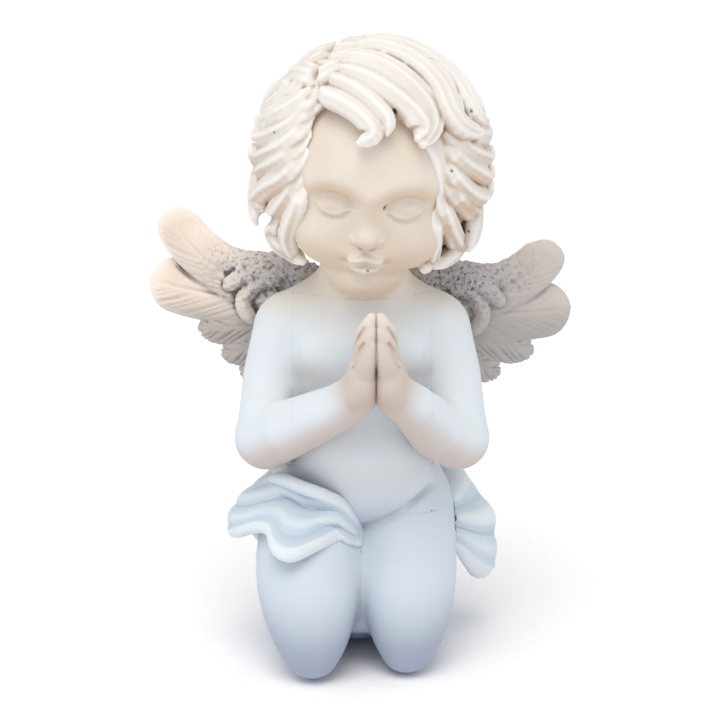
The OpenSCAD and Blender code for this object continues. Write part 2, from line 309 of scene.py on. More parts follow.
def cloud(shape, cell, seed):
    """Smooth random values from -1 to 1 on a grid, with lumps about cell steps wide."""
    r = np.random.default_rng(seed)
    out = r.uniform(-1, 1, [int(n / cell) + 3 for n in shape]).astype(F)
    for axis, n in enumerate(shape):
        q = np.arange(n) / cell
        i = q.astype(int)
        f = (q - i).astype(F)
        f = f * f * (3 - 2 * f)
        f = f.reshape([-1 if k == axis else 1 for k in range(3)])
        out = np.take(out, i, axis) * (1 - f) + np.take(out, i + 1, axis) * f
    return out


# ---- Meshes ----


def new_object(name, vertices, faces, values=None):
    """A smooth mesh object from millimetres. values are {name: one number for each vertex}."""
    mesh = bpy.data.meshes.new(name)
    mesh.vertices.add(len(vertices))
    mesh.vertices.foreach_set("co", (np.asarray(vertices, F) * MM).ravel())
    faces = np.asarray(faces, np.int32)
    size = faces.shape[1]
    mesh.loops.add(faces.size)
    mesh.loops.foreach_set("vertex_index", faces.ravel())
    mesh.polygons.add(len(faces))
    mesh.polygons.foreach_set("loop_start", np.arange(0, faces.size, size, dtype=np.int32))
    mesh.update(calc_edges=True)
    mesh.validate()
    mesh.polygons.foreach_set("use_smooth", np.ones(len(mesh.polygons), bool))
    for key, numbers in (values or {}).items():
        mesh.attributes.new(key, "FLOAT", "POINT").data.foreach_set("value", np.asarray(numbers, F))
    obj = bpy.data.objects.new(name, mesh)
    bpy.context.scene.collection.objects.link(obj)
    return obj


def sharpen(points, skin, cuts):
    """Slides the points beside a flat cut along the skin until they lie on the cut's edge."""
    for axis, value in cuts:
        near = np.abs(points[:, axis] - value) < 0.75 * skin.step
        near[near] = np.abs(skin.at(points[near])) < 0.75 * skin.step
        start = points[near]
        p = start.copy()
        for _ in range(10):
            p[:, axis] = value
            slope = skin.slope(p)
            slope[:, axis] = 0
            p -= slope * (skin.at(p) / np.maximum((slope**2).sum(1), 0.1))[:, None]
        good = np.abs(skin.at(p)) < 0.2 * skin.step
        good &= np.linalg.norm(p - start, axis=1) < 2 * skin.step
        points[near] = np.where(good[:, None], p, start)
    return points


def cast(name, clay, matrix=None, reach=1.3, values=None, skin=None, cuts=(), relief_of=None):
    """Turns clay into a mesh object, with its relief and its pinholes stored on the vertices.
    cuts are the (axis, value) planes that it was cut from the clay of skin with, and relief_of is
    the clay to take the relief from, if it isn't the same."""
    grid = openvdb.FloatGrid(float(3 * clay.step))
    grid.copyFromArray(np.clip(clay.d, -3 * clay.step, 3 * clay.step), tolerance=0.0)
    points, quads = grid.convertToQuads(0.0)
    points = points.astype(F) * clay.step + clay.low
    relief = (clay if relief_of is None else relief_of).relief(reach).at(points) / reach
    extra = {key: field.at(points) for key, field in (values or {}).items()}
    if matrix is not None:
        m = np.array(matrix, F)
        points = points @ m[:3, :3].T + m[:3, 3]
    if cuts:
        points = sharpen(points, skin, cuts)
    points[:, 2] = np.maximum(points[:, 2], 0)
    pit = np.zeros(len(points), F)
    for centre, radius in PINHOLES:
        gap = np.linalg.norm(points - vec(*centre), axis=1)
        pit = np.maximum(pit, np.clip(1.6 - gap / radius, 0, 1))
    a, b, c = (points[quads[:, k]] for k in range(3))
    if np.einsum("ij,ij->", a, np.cross(b, c)) < 0:
        quads = quads[:, ::-1]
    obj = new_object(name, points, quads, {"relief": relief, "pit": pit, **extra})
    if cuts:
        obj.data.set_sharp_from_angle(angle=math.radians(60))
    return obj


def loft(rings):
    """A skin of quads over closed rings, each of the same even number of points, with a fan round
    a middle point at each end."""
    count, n = len(rings), len(rings[0])
    vertices = np.vstack([np.vstack(rings), rings[0].mean(0), rings[-1].mean(0)])
    i, j = np.meshgrid(np.arange(count - 1), np.arange(n), indexing="ij")
    a, b = (i * n + j).ravel(), (i * n + (j + 1) % n).ravel()
    walls = np.stack([a, b, b + n, a + n], 1)
    j = np.arange(0, n, 2)
    fan = np.stack([j, j + 1, (j + 2) % n], 1)
    middle = np.full((len(j), 1), count * n)
    start = np.hstack([middle, fan[:, ::-1]])
    end = np.hstack([fan + (count - 1) * n, middle + 1])
    return vertices, np.vstack([walls, start, end])


def finish_piece(obj, node, material):
    obj.data.materials.append(material)
    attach(obj, "root")
    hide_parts(node)
    return obj


# ---- Paints ----


def linear(code):
    """The linear colour of an sRGB hex code."""
    c = [int(code[i : i + 2], 16) / 255 for i in (1, 3, 5)]
    return [v / 12.92 if v <= 0.04045 else ((v + 0.055) / 1.055) ** 2.4 for v in c] + [1.0]


def node(tree, kind, settings=None, **links):
    """A shader node. settings are its own values and those of its sockets, by name or number, and
    links feed its sockets by name."""
    made = tree.nodes.new(kind)
    for key, value in (settings or {}).items():
        if isinstance(key, str) and key not in made.inputs.keys():
            setattr(made, key, value)
        elif isinstance(value, bpy.types.NodeSocket):
            tree.links.new(value, made.inputs[key])
        else:
            made.inputs[key].default_value = value
    for key, source in links.items():
        tree.links.new(source, made.inputs[key.replace("_", " ")])
    return made


def bare_material(name):
    """A new material, its empty node tree, and the place on the object as a socket."""
    material = bpy.data.materials.new(name)
    material.use_nodes = True
    tree = material.node_tree
    tree.nodes.clear()
    return material, tree, node(tree, "ShaderNodeTexCoord").outputs["Object"]


def resin_paint(name, light, shade, dirt_and_shade, wash_and_shade_strength, underside_shade, ridge=None, stain=None, painted_light_and_shade=False):
    """Matt paint sprayed over a casting, with painted light and shade in its colour: painted highlights
    on the ridges, painted shade in the hollows (with a wash), on the undersides, round the hands and
    low down, and warm painted light on the head turning cool below. The shade colour shows where the
    spray thinned, in patches, and air bubbles left dark pits. Places and heights here are metres."""
    material, tree, place = bare_material(name)
    relief, pit, rough = (node(tree, "ShaderNodeAttribute", {"attribute_name": key}).outputs["Fac"]
                          for key in ("relief", "pit", "rough"))
    side, _, height = node(tree, "ShaderNodeSeparateXYZ", Vector=place).outputs
    normal = node(tree, "ShaderNodeNewGeometry").outputs["Normal"]
    facing = node(tree, "ShaderNodeSeparateXYZ", Vector=normal).outputs["Z"]

    def coat(base, colour, follows, start, full, most=1.0, how="SMOOTHSTEP"):
        """Lays colour over base, more and more as what it follows goes from start to full."""
        mask = node(tree, "ShaderNodeMapRange", {
            "interpolation_type": how, "Value": follows, "From Min": start, "From Max": full,
            "To Max": most}).outputs["Result"]
        return node(tree, "ShaderNodeMix", {"data_type": "RGBA", 0: mask, 6: base, 7: colour}).outputs[2]

    # Patches 20 mm across, where the spray can's mist lay thicker or thinner
    patches = node(tree, "ShaderNodeTexNoise", {"Scale": 1 / (20 * MM), "Detail": 3.0}, Vector=place)
    base = coat(light, linear(shade), patches.outputs["Fac"], 0.35, 0.7, how="LINEAR")
    # Specks of dust held in the paint, 0.7 mm apart
    specks = node(tree, "ShaderNodeTexNoise", {"Scale": 1 / (0.7143 * MM), "Detail": 2.0}, Vector=place)
    base = coat(base, linear(dirt_and_shade), specks.outputs["Fac"], 0.62, 0.72, 0.1, how="LINEAR")
    if painted_light_and_shade:
        # Painted light: the warm light on the head turns to cool over the neck, and painted shade makes
        # the legs cooler and darker towards the floor
        base = coat(base, linear("#dbe1e5"), height, 0.098, 0.084)
        base = coat(base, linear("#c9d2de"), height, 0.060, 0.028, 0.8)
        base = coat(base, linear("#9098a8"), height, 0.026, 0.002, 0.9)
        # Painted shade, tan, round the hands
        hands = [v * MM for v in (PALMS_X, -29, 81)]
        away = node(tree, "ShaderNodeVectorMath", {"operation": "DISTANCE", 0: place, 1: hands})
        base = coat(base, linear("#cbb8a6"), away.outputs["Value"], 0.015, 0.007, 0.8)
    # Painted shade on the undersides, warm on the upper body and cooler on the legs
    low = coat(linear(underside_shade), linear("#aab1c6"), height, 0.056, 0.036)
    base = coat(base, low, facing, 0.15, -0.75, 0.75)
    # Darker in the recesses, by how deep they lie: partly a real wash, partly painted shade
    base = coat(base, linear(dirt_and_shade), relief, *((-0.01, -0.24) if stain else (-0.04, -0.38)), wash_and_shade_strength)
    # Painted highlights on the ridges
    if ridge:
        base = coat(base, linear(ridge), relief, 0.03, 0.26, 0.75)
    if stain:
        # The lower feathers are greyer, and those on the left side a little greyer too
        base = coat(base, linear("#a49f9c"), height, 0.0885, 0.078, 0.8)
        base = coat(base, linear("#b3aeac"), side, 0.018, 0.034, 0.7)
        # Dark stains a millimetre across in the pitted, badly filled resin
        base = coat(base, linear(stain), rough, 0.0, 1.0, 0.75, how="LINEAR")
        blots = node(tree, "ShaderNodeTexNoise", {
            "Scale": 1 / (1.111 * MM), "Detail": 4.0, "Roughness": 0.7}, Vector=place)
        most = node(tree, "ShaderNodeMath", {"operation": "MULTIPLY", 0: rough, 1: 0.9}).outputs[0]
        base = coat(base, linear(dirt_and_shade), blots.outputs["Fac"], 0.53, 0.62, most, how="LINEAR")
    base = coat(base, linear("#15110f"), pit, 0.0, 1.0, how="LINEAR")

    # Orange peel, 1.1 mm from lump to lump and 0.04 mm deep, breaks up the soft gloss
    peel = node(tree, "ShaderNodeTexNoise", {"Scale": 1 / (1.111 * MM), "Detail": 3.0}, Vector=place)
    bump = node(tree, "ShaderNodeBump", {"Strength": 0.25, "Distance": 0.04 * MM},
                Height=peel.outputs["Fac"])
    shader = node(tree, "ShaderNodeBsdfPrincipled",
                  {"Roughness": 0.62, "IOR": 1.45, "Specular IOR Level": 0.32,
                   "Subsurface Weight": 0.06, "Subsurface Scale": 1.2 * MM},
                  Base_Color=base, Normal=bump.outputs["Normal"])
    node(tree, "ShaderNodeOutputMaterial", Surface=shader.outputs["BSDF"])
    return material


# The finishes of the castings. Each has its colours where the coat is thin, in the hollows (a wash
# with painted shade, also used for dust and stains), on the undersides (painted shade) and on the
# ridges (painted highlights), and how strongly the wash and painted shade show. Where it is thick,
# its colour is a setting.
PAINTS = {
    # Warm and even, with a soft waxy sheen and hardly any wash or painted shade in the hollows
    "head": dict(name="Polyester resin, sprayed matt ivory", light="skin", shade="#dfd2c1",
                 dirt_and_shade="#a8886c", wash_and_shade_strength=0.24, underside_shade="#d3bba3", painted_light_and_shade=True),
    # Painted highlights on each lock and a brown wash with painted shade in between, so that the curls
    # read from afar
    "hair": dict(name="Polyester resin, brushed thick ivory", light="hair", shade="#e0d8ce",
                 dirt_and_shade="#9c7d62", wash_and_shade_strength=0.95, underside_shade="#c4a78f", ridge="#f4f2ee"),
    # Cool and smooth, with painted cool light and painted shade making it greyer towards the knees
    "skin": dict(name="Polyester resin, sprayed cool white", light="skin", shade="#dfd2c1",
                 dirt_and_shade="#8f929c", wash_and_shade_strength=0.5, underside_shade="#c2ada0", painted_light_and_shade=True),
    # Blue painted shade in the folds, with painted highlights on the rims
    "cloth": dict(name="Polyester resin, sprayed blue-white", light="cloth", shade="#bccbd8",
                  dirt_and_shade="#7f93aa", wash_and_shade_strength=0.8, underside_shade="#98a2b2", ridge="#e6eaec"),
    # Cream on the tips, with painted highlights on the barbs, dark slits between them from a wash with
    # painted shade, and grey, spotted roots
    "wing": dict(name="Polyester resin, dry-brushed grey over umber", light="wing", shade="#e6d6c6",
                 dirt_and_shade="#382f28", wash_and_shade_strength=1.0, underside_shade="#958a80", ridge="#f2e8dd", stain="#a0a1a5"),
}


@cache
def paint(key):
    recipe = dict(PAINTS[key])
    recipe["light"] = getattr(bpy.context.scene.angel_colours, recipe["light"])
    return resin_paint(**recipe)


@cache
def steel():
    """Ground rod: grey metal with a fine brushed roughness along it."""
    material, tree, place = bare_material("Steel rod, centreless ground")
    # Grinding marks, drawn 0.6 mm apart because the real ones are too fine to show
    marks = node(tree, "ShaderNodeTexNoise", {"Scale": 1 / (0.5556 * MM), "Detail": 2.0}, Vector=place)
    shine = node(tree, "ShaderNodeMapRange",
                 {"From Min": 0.3, "From Max": 0.7, "To Min": 0.3, "To Max": 0.45},
                 Value=marks.outputs["Fac"])
    shader = node(tree, "ShaderNodeBsdfPrincipled",
                  {"Base Color": linear("#a9acb0"), "Metallic": 1.0}, Roughness=shine.outputs["Result"])
    node(tree, "ShaderNodeOutputMaterial", Surface=shader.outputs["BSDF"])
    return material


# ---- The body ----


def torso_shapes():
    """(blend, shape) for the trunk with its neck and upper arms."""
    shapes = [
        (0, egg((-0.5, 3, 43.5), (20.5, 16.5, 12.5))),
        (7, egg((-0.3, -2.2, 55), (16.8, 14, 14))),
        (6, egg((0, 0.5, 72), (17.3, 13.3, 17))),
        (5, egg((0, 1.5, 84), (17, 11.5, 10))),
        (5, egg((0, 5, 80), (15, 10.5, 14))),
        (5, limb((-17, 2, 86.5, 6.8), (0, 2, 94.5, 8.5), (17, 2, 86.5, 6.8))),
        (4, limb((0, 1.5, 88, 10.3), (0.8, -1.5, 106, 10.6))),
    ]
    shapes += [(7, egg((k * 8, -7.6, 80.5), (7.6, 4.2, 5.2))) for k in SIDES]
    shapes += [(3.2, limb((k * 18.9, 2, 84, 8), (k * 21.8, -1, 73, 7.6), (k * 23.5, -7.3, 58.8, 7.5)))
               for k in SIDES]
    return shapes


def leg_shapes():
    """(blend, shape) for the folded legs and feet."""
    shapes = [
        (0, limb((-11.3, 1, 39, 13.4), (-13.3, -9.5, 26.5, 13.2), (-13.1, -15, 18.5, 12.0),
                 (-12.6, -19.0, 12.2, 9.6), (-12.3, -20.8, 7.4, 6.9), smooth=18)),
        (1.8, limb((10.4, 2.5, 38, 12.8), (11.5, -6.5, 26, 12.3), (11.5, -11.5, 18.5, 11.4),
                 (11.3, -15.2, 12.2, 9.4), (11.1, -16.8, 7.2, 6.8), smooth=18)),
        (2.4, limb((-0.4, -4, 34, 6.0), (-0.4, -9.5, 23, 6.4), (-0.4, -11.5, 12.5, 3.8), smooth=10)),
        (5, egg((-0.5, 13, 12), (9, 20, 13))),
    ]
    for k in SIDES:
        shapes += [
            (4, egg((k * 9.5, 12, 35.5), (12, 11.5, 13))),
            (4, limb((k * 11.5, -7, 9, 8.2), (k * 11.5, 6, 8.8, 9.2), (k * 9.6, 27, 6, 5.6), smooth=12)),
            (3, ball((k * 9.3, 29, 10.2), 5.2)),
            (3, limb((k * 9.2, 30, 8, 5), (k * 8.6, 37.5, 4.6, 4.2))),
        ]
        for toe in range(5):
            x = k * (5 + 2.1 * toe)
            size = (2.3, 1.75, 1.6, 1.5, 1.35)[toe]
            shapes.append((0.9, limb((x, 36.8, 4.2, size), (x, 41.0 - 0.7 * toe, 3.0, size * 0.85))))
    return shapes


def hand_shapes(side):
    """(blend, shape) for one forearm and hand. The palms meet on a plane at PALMS_X."""
    def out(x):
        return PALMS_X + side * x

    shapes = [
        (0, limb((side * 23.6, -7.6, 58.3, 7.5), (side * 18.3, -13.6, 62.3, 7.2),
                 (out(9.0), -22.2, 70.4, 5.7), (out(4.4), -26.4, 75, 5.0))),
        (2.0, egg((out(3.3), -27.4, 79.0), (3.9, 6.6, 6.4))),
        (1.6, egg((out(3.6), -30.6, 77.4), (2.9, 3.0, 4.6), (0, side * -10, 0))),
        (1.0, limb((out(3.4), -21.8, 77, 2.3), (out(2.7), -19.8, 82.5, 2.0),
                   (out(1.9), -19.2, 86.4, 1.6))),
    ]
    # Fingers from the little one, which is in front, to the index: (place, tip, size)
    fingers = ((-32.6, 89.4, 0.95), (-29.6, 92.2, 1.06), (-26.6, 94.6, 1.08), (-23.6, 93.0, 1.04))
    for y, tip, size in fingers:
        shapes.append((0.25, limb(
            (out(3.0), y + 1.4, 79.0, 2.5 * size),
            (out(2.5), y + 0.4, tip - 6.2, 2.5 * size),
            (out(1.8), y + 0.2, tip - 3.6, 2.1 * size),
            (out(1.0), y + 0.6, tip - 1.3, 1.35 * size), smooth=10)))
    return shapes


@cache
def model_body(step):
    """The clay of the trunk with its legs, and of each arm by its side."""
    low, high = (-37, -42, -2.5), (37, 47, 107)
    trunk = Clay(low, high, step, 9)
    for blend, shape in torso_shapes():
        trunk.add(shape, blend)
    legs = Clay(low, high, step, 9)
    for blend, shape in leg_shapes():
        legs.add(shape, blend)
    trunk = trunk.copy(soft_min(trunk.d, legs.d, 2.4))
    # The spine's furrow, and the soft creases in front of the armpits
    trunk.carve(limb((0, 19.5, 50, 4), (0, 16.8, 64, 2.6), (0, 17.4, 84, 2.6)), 5)
    for k in SIDES:
        trunk.carve(limb((k * 17, -8.8, 84, 0.5), (k * 16.2, -10.8, 75, 0.7),
                         (k * 16.5, -9.5, 68, 0.4)), 2.2)
    # Where the thighs meet the belly
    for k in SIDES:
        crease = [(k * u + THIGHS_X, h) for u, h in ((0, 36.0), (5.5, 38.0), (11, 41), (18, 46))]
        trunk.carve(limb(*[(x, trunk.front(x, z) - 0.15, z, 0.3) for x, z in crease]), 1.9)
    arms = {}
    for side in SIDES:
        arm = Clay(low, high, step, 4)
        for blend, shape in hand_shapes(side):
            arm.add(shape, blend)
        x = arm.grid()[0]
        # The gaps between the fingers
        root = 81.5
        for y, top in ((-31.1, 88.5), (-28.1, 91.5), (-25.1, 93.5)):
            arm.carve(limb((PALMS_X + side * 5.5, y + 0.6, root, 0.35),
                           (PALMS_X + side * 4.9, y + 0.2, (root + top) / 2, 0.5),
                           (PALMS_X + side * 2.9, y, top, 0.45)), 0.4)
        arm.d = soft_max(arm.d, (PALMS_X - x) * side + 0.04, 0.4)
        arms[side] = arm
    return trunk, arms


def build_torso(step):
    trunk = model_body(step)[0]
    x, y, z = trunk.grid()
    shoulder = np.maximum(SHOULDER_X - BOND - np.abs(x), ARMPIT_Z - z)
    ends = np.maximum(HIP_Z + BOND - z, z - NECK_Z + BOND)
    d = np.maximum(np.maximum(trunk.d, -shoulder), ends)
    cuts = [(0, -SHOULDER_X + BOND), (0, SHOULDER_X - BOND), (2, HIP_Z + BOND), (2, NECK_Z - BOND)]
    obj = cast("torso", trunk.copy(d), reach=2.2, skin=trunk, cuts=cuts, relief_of=trunk)
    return finish_piece(obj, "torso", paint("skin"))


def build_leg(step, side):
    trunk = model_body(step)[0]
    x, y, z = trunk.grid()
    d = np.maximum(np.maximum(trunk.d, z - HIP_Z + BOND), (THIGHS_X - x) * side + BOND)
    d = np.maximum(d, -z)
    name = "left_leg" if side > 0 else "right_leg"
    cuts = [(2, HIP_Z - BOND), (0, THIGHS_X + side * BOND)]
    obj = cast(name, trunk.copy(d), reach=2.2, skin=trunk, cuts=cuts, relief_of=trunk)
    return finish_piece(obj, name, paint("skin"))


def build_arm(step, side):
    trunk, arms = model_body(step)
    x, y, z = trunk.grid()
    out = side * x
    whole = trunk.copy(soft_min(trunk.d, arms[side].d, 1.8))
    joined = np.maximum(whole.d, np.maximum(SHOULDER_X + BOND - out, ARMPIT_Z - z))
    clay = trunk.copy(np.minimum(joined, np.maximum(arms[side].d, out - SHOULDER_X - 1)))
    name = "left_arm" if side > 0 else "right_arm"
    cuts = [(0, side * (SHOULDER_X + BOND))]
    obj = cast(name, clay, reach=1.6, skin=whole, cuts=cuts, relief_of=whole)
    return finish_piece(obj, name, paint("skin"))


# ---- The head ----


@cache
def model_head(step):
    """The clay of the head and neck, in the head's own frame."""
    head = Clay((-31, -29, -34), (31, 33, 36), step, 6)
    for blend, shape in (
        (0, egg((0, 2.5, 4), (20.6, 21.5, 21.5))),
        (6, egg((0, -6, 7.5), (16.8, 13.6, 13))),
        (5, egg((0, -4.5, -7.2), (17.2, 15, 14.6))),
        (4, egg((-9.2, -11.8, -8.8), (8.0, 7.2, 7.8))),
        (4, egg((9.2, -11.8, -8.8), (8.0, 7.2, 7.8))),
        (3.0, egg((0, -13.8, -19.4), (5.4, 5.4, 4.8))),
        (3.5, egg((0, -7.5, -20.4), (9.6, 9.4, 6))),
        (4, egg((0, -14.6, -11.4), (6.8, 5.4, 4.8))),
    ):
        head.add(shape, blend)
    # The neck is the body's own, so that the two castings meet without a step
    p = np.stack(np.broadcast_arrays(*head.grid()), -1)
    m = np.array(HEAD, F)
    low = p @ m[2, :3] + m[2, 3] < 104
    neck = np.full(head.d.shape, 9, F)
    neck[low] = model_body(steps()[1])[0].at(p[low] @ m[:3, :3].T + m[:3, 3])
    head.d = soft_min(head.d, neck, 2.5)

    def near(x, z, out=0.0):
        """A point that stands out mm in front of the skin."""
        return (x, head.front(x, z) - out, z)

    # Brows, sockets and the closed lids
    for k in SIDES:
        head.add(limb((*near(k * 3.6, 5.8, -1.9), 1.3), (*near(k * 8.4, 7.8, -1.9), 1.7),
                      (*near(k * 13, 5.6, -1.4), 1.2), smooth=9), 5)
        head.carve(egg(near(k * 8.6, 2.4, 1.9), (5.8, 2.8, 3.2), (0, k * 4, k * 16)), 3.4)
    bulge = {k: near(k * 8.6, 0.9, -2.3) for k in SIDES}
    for k in SIDES:
        head.add(egg(bulge[k], (4.5, 3.1, 2.9), (0, k * 5, k * 14)), 2.0)
    for k in SIDES:
        rim = ((4.6, 0.5), (6.4, -0.9), (8.6, -1.5), (11, -0.9), (13, 0.6))
        lid = [near(k * x, z) for x, z in rim]
        head.add(limb(*[(x, y + 0.2, z + 0.5, 0.4) for x, y, z in lid]), 0.9)
        head.carve(limb(*[(x, y + 0.05, z - 0.3, 0.28) for x, y, z in lid]), 0.8)
        fold = ((4.6, 2.3), (6.4, 3.7), (8.8, 4.2), (11.2, 3.7), (13, 2.4))
        fold = [near(k * x, z) for x, z in fold]
        head.carve(limb(*[(x, y - 0.15, z, 0.3) for x, y, z in fold]), 2.2)
    # Nose
    head.add(limb((*near(0, 5, -1.5), 1.6), (*near(0, -0.5, -0.6), 1.8), (*near(0, -4.4, 0.1), 2.0)), 3)
    tip = near(0, -5.4)
    head.add(ball((0, tip[1] + 1.1, -5.5), 2.4), 1.5)
    for k in SIDES:
        head.add(egg((k * 2.5, tip[1] + 2.4, -6.3), (1.5, 1.7, 1.3)), 0.9)
    for k in SIDES:
        head.carve(egg((k * 1.25, tip[1] + 1.7, -8.0), (0.75, 0.8, 0.75)), 0.6)
    # Mouth: the upper lip's bow, the full lower lip, and the line between them
    head.carve(limb((*near(0, -8.9, 0.1), 0.35), (*near(0, -10.2, 0.2), 0.55)), 1.2)
    lips = {z: head.front(0, z) for z in (-11.4, -14.0)}
    for k in SIDES:
        head.add(egg((k * 2.0, lips[-11.4] + 0.4, -11.5), (3.1, 1.7, 1.15), (0, k * 20, k * 12)), 0.8)
        head.add(egg((k * 1.3, lips[-14.0] + 0.3, -14.1), (2.7, 1.8, 1.4), (0, k * -12, k * 10)), 0.9)
    line = ((-4.5, -13.0), (-2.4, -12.6), (-0.9, -12.8), (0, -12.55), (0.9, -12.8), (2.4, -12.6),
            (4.5, -13.0))
    head.carve(limb(*[(*near(x, z), 0.5) for x, z in line], smooth=20), 0.6)
    for k in SIDES:
        head.carve(ball(near(k * 5.0, -13.0, 0.35), 0.8), 1.8)
    head.carve(limb((*near(-1.8, -16.6, 0.6), 0.9), (*near(1.8, -16.6, 0.6), 0.9)), 2.4)
    for across, up, radius in FACE_BUBBLES:
        bubble(head, across, up, radius)
    return head


def world_z(clay):
    """Heights in the world of a clay in the head's own frame."""
    m = np.array(HEAD, F)
    x, y, z = clay.grid()
    return m[2, 0] * x + m[2, 1] * y + m[2, 2] * z + m[2, 3]


def build_head(step):
    head = model_head(step)
    d = np.maximum(head.d, NECK_Z + BOND - world_z(head))
    obj = cast("head", head.copy(d), HEAD, reach=1.8, skin=model_body(steps()[1])[0],
               cuts=[(2, NECK_Z + BOND)], relief_of=head)
    return finish_piece(obj, "head", paint("head"))


# ---- Hair ----

HAIR_C = np.array((0.0, 3.0, 4.0), F)
VIEW_UP = math.radians(33)  # the front locks are laid out as they look from this far above
VIEW_S, VIEW_C = math.sin(VIEW_UP), math.cos(VIEW_UP)
TOWARD = np.array((0, -VIEW_C, VIEW_S), F)

# Locks seen from the front: (half width, thickness, [(across, up), ...])
FRONT_LOCKS = (
    # Over the crown, from the parting to the left side
    (3.6, 2.6, [(-9, 29.5), (-3, 32), (4, 32.4), (12, 29.8), (18.5, 25), (22.4, 20.4), (24, 16)]),
    (3.6, 2.8, [(-10.5, 27.8), (-4, 30), (3, 30.2), (10, 27.4), (15.6, 22.4), (18.6, 17),
                (20.8, 13.6), (24.4, 14)]),
    (3.8, 3.0, [(-11.4, 26.2), (-5, 27.8), (1.5, 27.4), (8, 24.4), (12.6, 19.2),
                (14.6, 14.2), (17.2, 10.8), (20.6, 10)]),
    # The fringe
    (4.2, 3.2, [(-12, 24.8), (-6, 24.9), (0, 23.4), (6, 19.8), (10.4, 15.2), (12.2, 10.8),
                (10.6, 6.4)]),
    (3.2, 3.2, [(-12.4, 23.2), (-7.4, 21.9), (-1.6, 19.6), (3.8, 16.4), (8.2, 13),
                (10.4, 9.8), (9.4, 7.4)]),
    (2.4, 3.0, [(-12.8, 21.6), (-8.6, 19.4), (-4, 16.8), (0, 13.4), (2.4, 10.6), (2.6, 7.8)]),
    (2.7, 3.0, [(-13.4, 20), (-11.4, 16.2), (-7.8, 14.4), (-4.2, 12.2), (-1.2, 9.4),
                (-0.6, 7.0), (-3.4, 5.2)]),
    # The right side, down to the cheek
    (3.6, 2.6, [(-12.5, 26.6), (-17, 23.4), (-21.2, 19.4), (-25.6, 15.4)]),
    (2.8, 2.6, [(-13.4, 23.6), (-16.6, 19.2), (-20.4, 15.8), (-24.8, 14.4), (-27, 16)]),
    (3.0, 2.6, [(-14, 20.4), (-16.2, 15.4), (-19.8, 12), (-23.6, 10.8), (-26.6, 12.6)]),
    (2.7, 2.6, [(-14.8, 15.8), (-17, 11), (-20.4, 8), (-24, 7), (-27.2, 8.6), (-29, 7.6)]),
    (2.6, 2.6, [(-15.6, 11.4), (-17.8, 6.8), (-21, 4), (-24.6, 3), (-27.6, 4), (-29, 5.4)]),
    (3.2, 2.8, [(-16.2, 7.2), (-18.6, 3), (-22, 0.8), (-26, -0.6), (-28.6, -3),
                (-28.8, -7), (-26.4, -10), (-22.8, -11)]),
    (2.8, 2.6, [(-16.4, 3), (-19, -1.8), (-22.6, -4.2), (-25, -6.8), (-23.4, -8.8)]),
    (3.0, 2.6, [(-16.8, -1), (-18.6, -6), (-21.2, -10.2), (-22.4, -14), (-21, -17.2),
                (-17.6, -19.4), (-14.2, -20)]),
    (2.4, 2.4, [(-16.2, -5), (-16.6, -9.6), (-17.8, -13.4), (-16.4, -17)]),
    # The left side, down to the cheek
    (3.2, 2.8, [(13.2, 21.6), (15.4, 15.4), (18.8, 11.2), (22.8, 10.6), (25.2, 12.8)]),
    (2.8, 2.7, [(14.6, 15.6), (17.2, 9.6), (21, 6.6), (24.8, 6.6), (27.2, 8.8)]),
    (2.6, 2.6, [(16, 9.4), (19, 4.6), (23.2, 2.4), (26.8, 2.4), (28.8, 4.4)]),
    (2.6, 2.6, [(17, 4.4), (19.4, -0.4), (23, -2.8), (26.4, -2), (28.6, 0.8)]),
    (3.0, 2.7, [(17.2, 0), (20.4, -4.2), (24.2, -6.2), (26.6, -8.4), (25.6, -12), (22.2, -13.6)]),
    (2.6, 2.4, [(17, -4.6), (18.6, -9.6), (20.8, -13.4), (19.6, -15.8), (16.4, -15.8)]),
    (2.4, 2.3, [(16.4, -8.6), (15.4, -13.4), (15.6, -17.4), (13.4, -20)]),
)

# Tiers of curls round the sides and back: how high up the top and the end are, how far a curl
# sways, where round the head the tier starts and stops, all in degrees, its count and half width
TIERS = (
    (74, 34, 26, 80, 288, 9, 3.9),
    (54, 12, 30, 84, 286, 11, 3.8),
    (32, -10, 30, 92, 276, 11, 3.7),
    (10, -32, 28, 96, 268, 11, 3.6),
    (-12, -54, 24, 100, 262, 10, 3.4),
)

# Air bubbles that broke the surface, laid out like the front locks: (across, up, radius)
HAIR_BUBBLES = (
    (4.0, 13.2, 0.62), (24.6, -11.4, 0.3), (22.4, 15.8, 0.34), (-23.4, 7.6, 0.3),
    (-22.8, -11.6, 0.3), (18.6, 1.2, 0.3),
)
FACE_BUBBLES = ((3.5, -8.4, 0.55), (0.7, -23.2, 0.26))


def seat(clay, start, way, lift=0.0):
    """The first point of the clay that a ray meets, or its nearest miss, raised by lift."""
    t = np.arange(0, 80, 0.2, dtype=F)[:, None]
    p = start + t * way
    d = clay.at(p)
    inside = np.nonzero(d < 0)[0]
    i = inside[0] if len(inside) else int(np.argmin(d))
    up = unit(clay.slope(p[i][None]))[0]
    return p[i] + (lift - d[i]) * up


def seen(clay, across, up, lift=0.0):
    """The point of the clay that lies at (across, up) as the front locks are laid out."""
    start = np.array((across, up * VIEW_S, up * VIEW_C), F) + 40 * TOWARD
    return seat(clay, start, -TOWARD, lift)


def around(clay, lon, lat, lift=0.0):
    """The point of the clay at lon degrees round from the face and lat degrees up."""
    a, b = math.radians(lon), math.radians(lat)
    way = np.array((math.cos(b) * math.sin(a), -math.cos(b) * math.cos(a), math.sin(b)), F)
    return seat(clay, HAIR_C + 36 * way, -way, lift)


